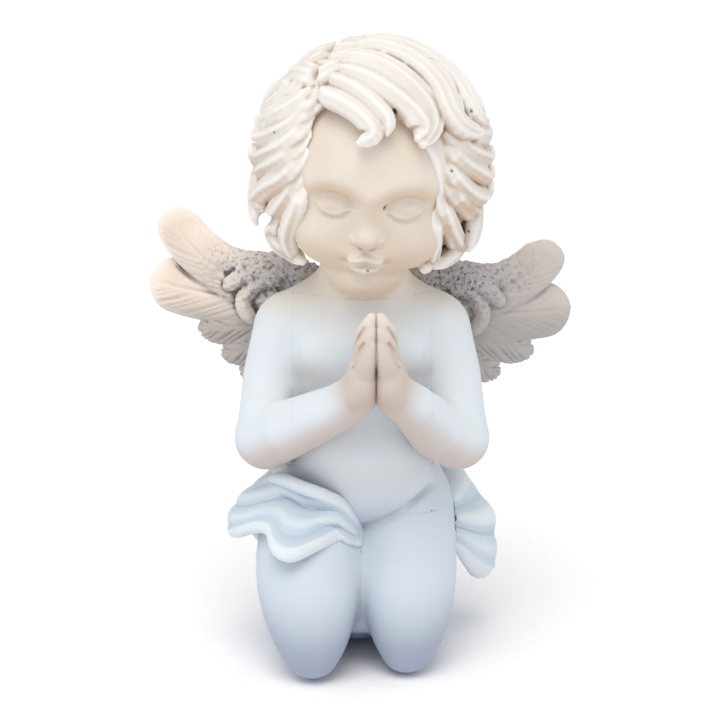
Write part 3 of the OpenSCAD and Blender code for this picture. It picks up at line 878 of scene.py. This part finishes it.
def lock(clay, points, wide, tall, tip=0.3, root=0.45):
    """A lock of hair along points that lie on the clay. It swells, and runs out to a point."""
    n = max(12, 3 * len(points))
    path = flow(points, n).astype(F)
    t = np.linspace(0, 1, n)
    grow = np.clip(t / 0.3, 0, 1)
    swell = root + (1 - root) * grow * (2 - grow)
    taper = tip + (1 - tip) * np.sqrt(np.clip((1 - t) / 0.3, 0, 1))
    size = swell * taper
    rise = (0.15 + 0.85 * np.clip(t / 0.18, 0, 1)) * (0.2 + 0.8 * taper)
    strands = 1.0 if wide < 3.3 else 1.5
    return ribbon(path, unit(clay.slope(path)), wide * size, tall * rise, strands, 0.45)


def bubble(clay, across, up, radius):
    """Bores a small pit where an air bubble broke the surface."""
    p = seen(clay, across, up)
    clay.carve(ball(p, radius), 0.15)
    PINHOLES.append([tuple(HEAD @ Vector([float(v) for v in p])), radius])


def build_hair(step):
    head = model_head(step)
    hair = Clay((-35, -34, -34), (35, 38, 38), step)
    for blend, shape in (
        (0, egg(HAIR_C, (23.2, 25.2, 26.4))),
        (4, egg((-16.9, 3.5, -3), (7.3, 13.5, 15.5))),
        (4, egg((16.9, 3.5, -3), (7.3, 13.5, 15.5))),
        (4, egg((0, 13.5, -8), (18.5, 13, 17))),
    ):
        hair.add(shape, blend)
    cap = hair.copy(hair.d)
    # The face and the neck stay free of the cap that the locks stand on
    hair.carve(egg((1.0, -23, -5), (17.4, 19.8, 33)), 1.5)
    hair.carve(egg((-7, -14, 10), (10.5, 13, 15.5)), 1.5)
    hair.carve(egg((0, -6, -36), (24, 27, 19)), 2)
    for wide, tall, points in FRONT_LOCKS:
        flip = 4.4 if abs(points[-1][0]) > 12 else 0.9  # the side curls turn outwards
        path = [seen(cap, x, z, 0.2 - (1.3, 0.3, 0)[min(i, 2)] + flip * (i / (len(points) - 1)) ** 1.6)
                for i, (x, z) in enumerate(points)]
        hair.add(lock(cap, path, wide, tall), 0.4)
    for tier, (top, end, sway, first, last, count, wide) in enumerate(TIERS):
        for i in range(count):
            lon = first + (last - first) * (i + 0.5 * (tier % 2)) / (count - 0.5) + rng.uniform(-2, 2)
            turn = 1 if (i * 5 + tier * 3) % 4 < 2 else -1
            path = []
            for j in range(7):
                t = j / 6
                lat = top + (end - top) * min(t, 0.9) + (5 if j == 6 else 0) + rng.uniform(-1, 1)
                swing = sway * 0.6 * turn * math.sin(math.pi * (1.6 * t + 0.1)) * (0.3 + 0.7 * t)
                swing = swing / max(0.4, math.cos(math.radians(lat)))
                path.append(around(cap, lon + swing, lat, 2.7 * t**1.6))
            hair.add(lock(cap, path, wide * rng.uniform(0.9, 1.15), 2.8), 0.4)
    # The whorl at the crown
    for i in range(8):
        path = []
        for t in (0.0, 0.33, 0.66, 1.0):
            a, r = math.radians(45 * i + 80 * t), 2 + 13 * t
            above = vec(r * math.sin(a), 9 + r * math.cos(a), 45)
            path.append(seat(cap, above, vec(0, 0, -1), 0.5 * t))
        hair.add(lock(cap, path, 3.2, 2.4, root=0.4), 0.4)
    # The parting
    parting = ((-8, 31), (-10.4, 27.6), (-12.2, 23.6), (-13.8, 19), (-14.6, 15.4))
    hair.carve(limb(*[(*seen(cap, x, z, 2.4), 0.9) for x, z in parting], smooth=16), 1.8)
    # The nick between the curls at the right cheek
    rim = seen(cap, -28, -12.7, 2.6)
    hair.carve(limb((*seen(cap, -20, -10.7, 3.2), 0.8), (*rim, 1.3), (*(rim - 9 * TOWARD), 1.0)), 2.0)
    # The head fills the inside of the cap
    solid = hair.d < 1
    core = np.full(hair.d.shape, 9, F)
    core[solid] = head.at(np.stack(np.broadcast_arrays(*hair.grid()), -1)[solid])
    hair.d = soft_max(hair.d, -(core + 1.0), 0.3)
    for across, up, radius in HAIR_BUBBLES:
        bubble(hair, across, up, radius)
    return finish_piece(cast("hair", hair, HEAD, reach=1.0), "hair", paint("hair"))


# ---- Wings ----

# Feathers: (half width, thickness, set forward, depth of the barbs, [(out, up), ...])
FEATHERS = (
    (6.4, 1.7, 0.9, 0.12, [(13, 86.5), (24, 89.4), (33, 93.2), (41.5, 99.2),
                           (46.4, 105.2), (48.2, 110.4)]),
    (8.0, 1.7, 0.0, 0.2, [(13, 84.5), (26, 87), (37, 88.2), (45.6, 89.6), (53.2, 91.4)]),
    (5.4, 1.5, -0.4, 0.8, [(12, 81), (22, 81), (32, 80), (42.4, 78.4)]),
    (4.9, 1.5, -0.9, 0.85, [(11, 79), (20, 77), (28, 74.6), (36.4, 71.4)]),
    (4.6, 1.4, -1.4, 0.85, [(10, 76.5), (18, 73), (25, 69.8), (31.6, 66.4)]),
    (4.3, 1.4, -1.9, 0.85, [(9, 74.5), (15, 69.4), (21, 65.2), (26.4, 61.8)]),
)
# The short feathers and the rolled ones that lie over their roots
COVERTS = (
    (4.6, 1.6, 1.7, 0.3, [(11, 85), (18, 87.4), (25, 89.2), (31, 90.2)]),
    (4.2, 1.6, 1.5, 0.4, [(11, 82), (18, 82.2), (25, 81.4)]),
    (3.9, 1.6, 1.3, 0.4, [(10, 79), (16, 76), (21, 72.6)]),
    (2.6, 1.9, 3.2, 0.0, [(21, 95), (26, 95), (30.4, 93.4), (35.4, 90.4)]),
    (2.4, 2.1, 3.0, 0.0, [(22, 93.4), (26.6, 92), (29.6, 88.6), (29.8, 85), (27, 81.4)]),
)


WING_SEAT = 11.6  # the wings' pads are flat here, where they sit on the back
WING_ROOT = (9, 82)  # (out, up) of the point that the feathers spread from


def wing_point(out, up, forward, side, droop):
    """Places a point of the spread wing: it sweeps back from its root, and may hang a little."""
    a = math.radians(-droop)
    x, z = WING_ROOT
    dx, dz = out - x, up - z
    out, up = x + dx * math.cos(a) - dz * math.sin(a), z + dx * math.sin(a) + dz * math.cos(a)
    back = 15.2 + 0.24 * (out - x) - 0.0022 * (out - 26) ** 2
    return (side * out, back - forward, up)


def feather(place, wide, tall, barb, points, side):
    """A feather with a round tip, through points that place puts on the wing."""
    count = 22
    # Stations closer to each other near the tip
    pick = 800 - np.round(800 * np.linspace(1, 0, count) ** 1.8).astype(int)
    path, t = flow(place(points), 801)[pick], pick / 800
    tip = np.clip((1 - t) / 0.2, 0, 1)
    tip = np.sqrt(np.clip(tip * (2 - tip), 0.002, 1))
    blade = wide * (0.6 + 0.4 * np.sin(np.pi * np.clip(0.15 + 0.68 * t, 0, 1))) * tip
    cup = np.tile((0.0, -1.0, 0.0), (count, 1)) + np.outer(t, (side * 0.12, 0, 0.05))
    thick = tall * np.sqrt(np.clip((1.002 - t) / 0.12, 0.02, 1))
    return ribbon(path, cup, blade, thick, 0.5, 0.3, barb)


def build_wing(step, side):
    droop = 9.5 if side > 0 else 0.0
    clay = Clay((-57 if side < 0 else 3, 7, 52), (-3 if side < 0 else 57, 32, 115), step)
    x0, z0 = WING_ROOT
    # How much longer or shorter than its row each feather of this wing is
    stretch = (0.915, 0.995, 1.1, 1.06, 1, 1) if side > 0 else (1, 1.03, 1, 1, 1, 1)
    stretch = stretch + (1,) * len(COVERTS)
    for k, (wide, tall, forward, barb, points) in zip(stretch, FEATHERS + COVERTS):
        def place(points):
            return np.array([wing_point(x0 + k * (x - x0), z0 + k * (z - z0), forward, side, droop)
                             for x, z in points])

        clay.add(feather(place, wide, tall, barb, points, side), 0.35)
    # The leading edge, which is thick and badly filled, and the root that sits on the back
    edge = [wing_point(x, z, f, side, droop) for x, z, f in
            ((7, 84, 1.5), (11, 92.6, 1), (20, 96.4, 0.6), (29, 96.8, 0.4), (35.6, 98.2, 0.4))]
    clay.add(limb(*[(*p, r) for p, r in zip(edge, (4.2, 4.2, 3.6, 2.9, 1.8))]), 2.0)
    clay.add(egg((side * 7.5, 15.2, 80), (4.8, 4.2, 9.5)), 3)
    x, y, z = clay.grid()
    # Pitted where air was caught along the top of the mould
    root = wing_point(16, 95, 0, side, droop)
    gap = np.sqrt(((x - root[0]) / 22) ** 2 + ((y - root[1]) / 14) ** 2 + ((z - root[2]) / 11) ** 2)
    rough = np.clip(1.35 - gap, 0, 1)
    lumps = cloud(clay.d.shape, 0.9 / step, 5) + 0.7 * cloud(clay.d.shape, 0.55 / step, 6)
    d = clay.d + 0.42 * rough * lumps
    d = np.maximum(d, WING_SEAT - y)
    patch = clay.copy(np.broadcast_to(rough, d.shape))
    name = "left_wing" if side > 0 else "right_wing"
    obj = cast(name, clay.copy(d), reach=1.0, values={"rough": patch})
    return finish_piece(obj, name, paint("wing"))


# ---- Drapery ----

# Stations: compass angle, top, hem, how far the top, belly and hem stand out, thickness
HIP_STATIONS = (
    (361.5, 34.6, 32.6, 0.3, 0.5, 0.5, 1.2),
    (355, 38.2, 33.4, 0.8, 1.4, 1.4, 1.8),
    (348, 41.8, 34.8, 1.2, 2.2, 1.6, 2.2),
    (341, 44.4, 36.2, 2.0, 2.4, 1.6, 2.3),
    (333, 46.2, 35.0, 3.2, 2.8, 3.2, 2.3),
    (325, 47.4, 33.4, 4.2, 2.8, 5.0, 2.4),
    (316, 48.2, 34.4, 4.8, 2.4, 4.6, 2.4),
    (306, 48.8, 37.2, 4.8, 2.0, 3.0, 2.4),
    (296, 48.6, 36.8, 4.4, 2.6, 3.4, 2.4),
    (286, 46.8, 34.2, 2.8, 4.4, 5.4, 2.4),
    (275, 44.4, 32.4, 1.8, 6.0, 7.0, 2.4),
    (264, 42.8, 32.0, 1.4, 6.8, 7.4, 2.4),
    (254, 42.8, 30.0, 1.4, 5.6, 6.2, 2.3),
    (243, 44.2, 24.0, 1.4, 3.4, 3.8, 2.2),
    (232, 46.6, 22.6, 1.4, 2.8, 3.0, 2.2),
    (215.2, 49.0, 28.0, 1.2, 2.4, 2.8, 2.0),
)
BACK_STATIONS = (
    (91, 40.0, 28.0, 0.2, 0.4, 0.4, 1.4),
    (96, 41.5, 22.2, 0.6, 5.0, 4.6, 3.2),
    (102, 42.5, 19.2, 0.8, 8.0, 7.6, 4.6),
    (109, 43.4, 18.2, 1.0, 9.8, 9.0, 5.0),
    (117, 44.2, 18.8, 1.0, 8.2, 8.0, 3.8),
    (125, 45.2, 21.2, 1.0, 4.8, 5.0, 2.6),
    (136, 46.2, 22.6, 1.0, 3.2, 4.0, 2.3),
    (150, 47.4, 20.6, 1.2, 3.6, 5.0, 2.3),
    (164, 48.4, 23.8, 1.2, 2.8, 3.0, 2.2),
    (177, 49.0, 22.4, 1.2, 3.4, 4.6, 2.2),
    (190, 49.5, 25.8, 1.2, 2.6, 2.8, 2.1),
    (202, 49.8, 26.0, 1.2, 3.2, 4.0, 2.1),
    (214.8, 49.2, 27.6, 1.2, 2.4, 2.8, 2.0),
)


def hang(body, angle, z):
    """How far out from the body's axis cloth hangs free of it, at each angle and height."""
    first, last, stride = 4, 44, 0.4
    r = np.arange(first, last, stride)
    points = np.stack(np.broadcast_arrays(
        np.sin(angle)[..., None] * r, -np.cos(angle)[..., None] * r, z[..., None]), -1)
    inside = body.at(points) < 0
    outermost = len(r) - 1 - np.argmax(inside[..., ::-1], -1)
    skin = np.where(inside.any(-1), outermost, 0) * stride + first
    skin = np.maximum.accumulate(skin, axis=1)  # it hangs from the widest place above
    for _ in range(6):
        pad = np.pad(skin, 1, mode="edge")
        skin = (pad[:-2, 1:-1] + pad[2:, 1:-1] + pad[1:-1, :-2] + pad[1:-1, 2:] + 2 * skin) / 6
    return skin


def build_drape(step, name, stations, folds):
    """Cloth cast on the hips: rings of a thick sheet, from the rolled top to the waving hem."""
    rows = flow(stations, 12 * (len(stations) - 1) + 1)
    t = np.linspace(0, 1, 34)
    angle = np.radians(rows[:, 0])[:, None]
    z = rows[:, 1:2] + (rows[:, 2:3] - rows[:, 1:2]) * t
    skin = hang(model_body(step)[0], angle, z)
    top, belly, hem = rows[:, 3:4], rows[:, 4:5], rows[:, 5:6]
    out = top * (1 - t) * (1 - 2 * t) + 4 * belly * t * (1 - t) + hem * t * (2 * t - 1)
    share = np.linspace(0, 1, len(rows))[:, None]
    ridge = np.cos(2 * np.pi * (folds * t - 0.8 * share + 0.12 * np.sin(9 * share)))
    fall = np.abs(rows[:, 1:2] - rows[:, 2:3])  # the folds die out where the cloth is short
    out = out + 0.75 * ridge * np.sin(np.pi * t) * np.minimum(1, fall / 12)
    middle = np.stack([skin + out, z], -1)
    way = np.gradient(middle, axis=1)
    normal = unit(np.stack([-way[..., 1], way[..., 0]], -1))
    ends = np.sqrt(np.clip(np.minimum(share, 1 - share) / 0.02, 0.12, 1))
    half = rows[:, 6:7, None] / 2 * ends[..., None]
    # The rolled top and hem are thicker
    lips = 1 + 0.5 * np.exp(-(((t - 0.03) / 0.07) ** 2)) + 0.4 * np.exp(-(((t - 0.96) / 0.06) ** 2))
    half = half * lips[None, :, None]
    outer, inner = middle + normal * half, middle - normal * half
    # Round edges join the outer face to the inner one
    edges = []
    for k, sign in ((-1, 1), (0, -1)):
        forward = unit(way[:, k]) * sign
        arc = []
        for turn in (60, 30, 0, -30, -60):
            a = math.radians(turn * sign)
            arc.append(middle[:, k] + half[:, k] * (normal[:, k] * math.sin(a) + forward * math.cos(a)))
        edges.append(np.stack(arc, 1))
    ring = np.concatenate([outer, edges[0], inner[:, ::-1], edges[1]], 1)
    x, y = np.sin(angle) * ring[..., 0], -np.cos(angle) * ring[..., 0]
    rings = np.stack([x, y, ring[..., 1]], -1)
    vertices, faces = loft(list(rings))
    # The paint's relief: painted highlights along the folds and rims, and painted shade between the folds
    # and on the inner face
    bend = np.gradient(np.gradient(out, axis=1), axis=1)
    relief = np.clip(-bend * 1.2, -0.3, 0.3) + 0.06 * ridge * np.sin(np.pi * t)
    relief = relief + 0.3 * np.exp(-(((1 - t) / 0.07) ** 2)) + 0.2 * np.exp(-((t / 0.08) ** 2))
    rim = np.full((len(rows), 5), 0.3)
    per_ring = np.concatenate([relief, rim, np.full_like(relief, -0.3), rim * 0.6], 1)
    values = np.concatenate([per_ring.ravel(), [0, 0]])
    obj = new_object(name, vertices, faces, {"relief": values, "pit": np.zeros(len(vertices))})
    a, b, c = (vertices[faces[:, k]] for k in range(3))
    if np.einsum("ij,ij->", a, np.cross(b, c)) < 0:
        obj.data.flip_normals()
    return finish_piece(obj, name, paint("cloth"))


# ---- Dowels ----


def build_dowels():
    """The hidden steel dowels, with chamfered ends, at the frame's places and sizes."""
    count = 24
    a = np.linspace(0, 2 * np.pi, count, endpoint=False)
    # (axis, diameter, length, places)
    rows = {
        "neck_dowel": ("Z", 4.0, 18.0, [(0, 0, 91)]),
        "hip_dowels": ("Z", 4.0, 18.0, [(-9, 2, 40), (9, 2, 40)]),
        "shoulder_dowels": ("X", 2.5, 11.0, [(-17, 2, 82), (17, 2, 82)]),
        "wing_dowels": ("Y", 2.5, 11.0, [(k * 6.5, 13.41, 80 + u) for k in SIDES for u in (-4.5, 4.5)]),
    }
    for name, (axis, wide, long, places) in rows.items():
        vertices, faces = [], []
        for place in places:
            rings = []
            for along, size in ((-0.5, 0.85), (-0.47, 1), (0.47, 1), (0.5, 0.85)):
                radius = wide / 2 * size
                u, v, w = radius * np.cos(a), radius * np.sin(a), np.full(count, along * long)
                ring = {"Z": (u, v, w), "X": (w, u, v), "Y": (v, w, u)}[axis]
                rings.append(np.stack(ring, 1) + vec(*place))
            points, quads = loft(rings)
            faces.append(quads + sum(len(v) for v in vertices))
            vertices.append(points)
        obj = new_object(name, np.vstack(vertices), np.vstack(faces))
        finish_piece(obj, name, steel())


# ---- Stage ----


def build_stage(settings):
    scene = bpy.context.scene
    # Matt paper with fibres, drawn 1.7 mm wide because real ones are too fine to show
    backdrop, tree, place = bare_material("White seamless paper")
    fibre = node(tree, "ShaderNodeTexNoise", {"Scale": 1 / (1.667 * MM), "Detail": 2.0}, Vector=place)
    mask = node(tree, "ShaderNodeMapRange", {"From Min": 0.3, "From Max": 0.7}, Value=fibre.outputs["Fac"])
    tone = node(tree, "ShaderNodeMix", {
        "data_type": "RGBA", 0: mask.outputs["Result"], 6: linear("#fbfbfb"), 7: linear("#ffffff")})
    shader = node(tree, "ShaderNodeBsdfPrincipled", {"Roughness": 0.9, "Specular IOR Level": 0.1},
                  Base_Color=tone.outputs[2])
    node(tree, "ShaderNodeOutputMaterial", Surface=shader.outputs["BSDF"])
    mesh = bpy.data.meshes.new("floor")
    mesh.from_pydata([(-6, -6, 0), (6, -6, 0), (6, 6, 0), (-6, 6, 0)], [], [(0, 1, 2, 3)])
    floor = bpy.data.objects.new("floor", mesh)
    scene.collection.objects.link(floor)
    mesh.materials.append(backdrop)

    world = bpy.data.worlds.new("Studio")
    scene.world = world
    world.use_nodes = True
    sky = world.node_tree.nodes["Background"]
    sky.inputs["Color"].default_value = linear("#f3f6fa")
    sky.inputs["Strength"].default_value = settings.sky

    def lamp(name, kind, place, power, code, spread):
        data = bpy.data.lights.new(name, kind)
        if kind == "SUN":
            data.angle = math.radians(spread)
        else:
            data.size = spread
        data.energy = power
        data.color = linear(code)[:3]
        light = bpy.data.objects.new(name, data)
        scene.collection.objects.link(light)
        light.location = place
        aim = Vector((0, 0, 0.08)) - Vector(place)
        light.rotation_euler = aim.to_track_quat("-Z", "Y").to_euler()

    lamp("Warm key", "SUN", (-0.07, -0.4, 0.95), settings.key, "#fff9f2", 40)
    lamp("Cool fill left", "AREA", (-0.75, -0.45, 0.2), settings.fill, "#dce8ff", 0.6)
    lamp("Cool fill right", "AREA", (0.8, -0.35, 0.15), settings.fill * 0.6, "#dce8ff", 0.6)

    camera = bpy.data.cameras.new("camera")
    camera.lens = 110.7
    camera.sensor_width = 36
    camera.clip_start, camera.clip_end = 0.01, 20
    eye = bpy.data.objects.new("camera", camera)
    scene.collection.objects.link(eye)
    up, away = math.radians(15), 0.55
    target = Vector((-0.0005, 0, 0.0763))
    eye.location = target + Vector((0, -away * math.cos(up), away * math.sin(up)))
    eye.rotation_euler = (target - eye.location).to_track_quat("-Z", "Y").to_euler()
    scene.camera = eye
    scene.render.resolution_x = scene.render.resolution_y = 720
    scene.view_settings.view_transform = "Standard"
    scene.view_settings.look = "None"


# ---- The add-on ----


def colour_setting(name, description, code):
    return bpy.props.FloatVectorProperty(name=name, description=description, subtype="COLOR", size=4,
                                         min=0, max=1, default=linear(code))


class AngelColours(bpy.types.PropertyGroup):
    skin: colour_setting("Skin", "Colour of the coat on the face and body", "#e6dccf")
    hair: colour_setting("Hair", "Colour of the coat on the curls", "#ece7e0")
    cloth: colour_setting("Cloth", "Colour of the coat on the drapery", "#ccd8e1")
    wing: colour_setting("Wings", "Colour of the coat on the feathers", "#faeadb")


class AngelSettings(bpy.types.PropertyGroup):
    fine: bpy.props.FloatProperty(
        name="Fine grid", description="Spacing of the grid of the head, hair and wings, in mm",
        default=0.34, min=0.2, max=1.5)
    coarse: bpy.props.FloatProperty(
        name="Body grid", description="Spacing of the grid of the trunk, arms and legs, in mm",
        default=0.42, min=0.25, max=2.0)
    sky: bpy.props.FloatProperty(
        name="Sky", description="Strength of the even studio light", default=0.76, min=0)
    key: bpy.props.FloatProperty(
        name="Key", description="Strength of the warm light from above", default=1.45, min=0)
    fill: bpy.props.FloatProperty(
        name="Fill", description="Power of the cool lamps", default=0.6, min=0, unit="POWER")


def steps():
    """The grids' spacings: (head, hair and wings), (trunk, arms, legs and cloth)."""
    settings = bpy.context.scene.angel
    loose = 1.0
    return settings.fine * loose, settings.coarse * loose


class ANGEL_OT_torso(bpy.types.Operator):
    """Model the trunk"""

    bl_idname = "angel.torso"
    bl_label = "Torso"

    def execute(self, context):
        build_torso(steps()[1])
        return {"FINISHED"}


class ANGEL_OT_legs(bpy.types.Operator):
    """Model both folded legs"""

    bl_idname = "angel.legs"
    bl_label = "Legs"

    def execute(self, context):
        for side in SIDES:
            build_leg(steps()[1], side)
        return {"FINISHED"}


class ANGEL_OT_arms(bpy.types.Operator):
    """Model both arms with the praying hands"""

    bl_idname = "angel.arms"
    bl_label = "Arms"

    def execute(self, context):
        for side in SIDES:
            build_arm(steps()[1], side)
        return {"FINISHED"}


class ANGEL_OT_head(bpy.types.Operator):
    """Model the face and neck"""

    bl_idname = "angel.head"
    bl_label = "Head"

    def execute(self, context):
        build_head(steps()[0])
        return {"FINISHED"}


class ANGEL_OT_hair(bpy.types.Operator):
    """Model the cap of curls"""

    bl_idname = "angel.hair"
    bl_label = "Hair"

    def execute(self, context):
        build_hair(steps()[0])
        return {"FINISHED"}


class ANGEL_OT_wings(bpy.types.Operator):
    """Model both wings"""

    bl_idname = "angel.wings"
    bl_label = "Wings"

    def execute(self, context):
        for side in SIDES:
            build_wing(steps()[0], side)
        return {"FINISHED"}


class ANGEL_OT_drapery(bpy.types.Operator):
    """Model the swag and the cloth behind"""

    bl_idname = "angel.drapery"
    bl_label = "Drapery"

    def execute(self, context):
        build_drape(steps()[1], "hip_drape", HIP_STATIONS, 2.1)
        build_drape(steps()[1], "back_drape", BACK_STATIONS, 2.4)
        return {"FINISHED"}


class ANGEL_OT_dowels(bpy.types.Operator):
    """Add the steel dowels in the joints"""

    bl_idname = "angel.dowels"
    bl_label = "Dowels"

    def execute(self, context):
        build_dowels()
        return {"FINISHED"}


class ANGEL_OT_stage(bpy.types.Operator):
    """Add the floor, lamps and camera"""

    bl_idname = "angel.stage"
    bl_label = "Stage"

    def execute(self, context):
        build_stage(context.scene.angel)
        return {"FINISHED"}


PARTS = ("head", "hair", "torso", "legs", "arms", "wings", "drapery", "dowels", "stage")


class ANGEL_PT_panel(bpy.types.Panel):
    bl_label = "Angel"
    bl_idname = "ANGEL_PT_panel"
    bl_space_type = "VIEW_3D"
    bl_region_type = "UI"
    bl_category = "Angel"

    def draw(self, context):
        for name in ("fine", "coarse", "sky", "key", "fill"):
            self.layout.prop(context.scene.angel, name)
        for name in ("skin", "hair", "cloth", "wing"):
            self.layout.prop(context.scene.angel_colours, name)
        for part in PARTS:
            self.layout.operator("angel." + part)


CLASSES = (
    AngelColours, AngelSettings, ANGEL_OT_torso, ANGEL_OT_legs, ANGEL_OT_arms, ANGEL_OT_head,
    ANGEL_OT_hair, ANGEL_OT_wings, ANGEL_OT_drapery, ANGEL_OT_dowels, ANGEL_OT_stage, ANGEL_PT_panel,
)


def register():
    for item in CLASSES:
        bpy.utils.register_class(item)
    bpy.types.Scene.angel = bpy.props.PointerProperty(type=AngelSettings)
    bpy.types.Scene.angel_colours = bpy.props.PointerProperty(type=AngelColours)


def unregister():
    del bpy.types.Scene.angel_colours
    del bpy.types.Scene.angel
    for item in reversed(CLASSES):
        bpy.utils.unregister_class(item)


def main():
    register()
    for part in PARTS:
        getattr(bpy.ops.angel, part)()


if __name__ == "__main__":
    main()
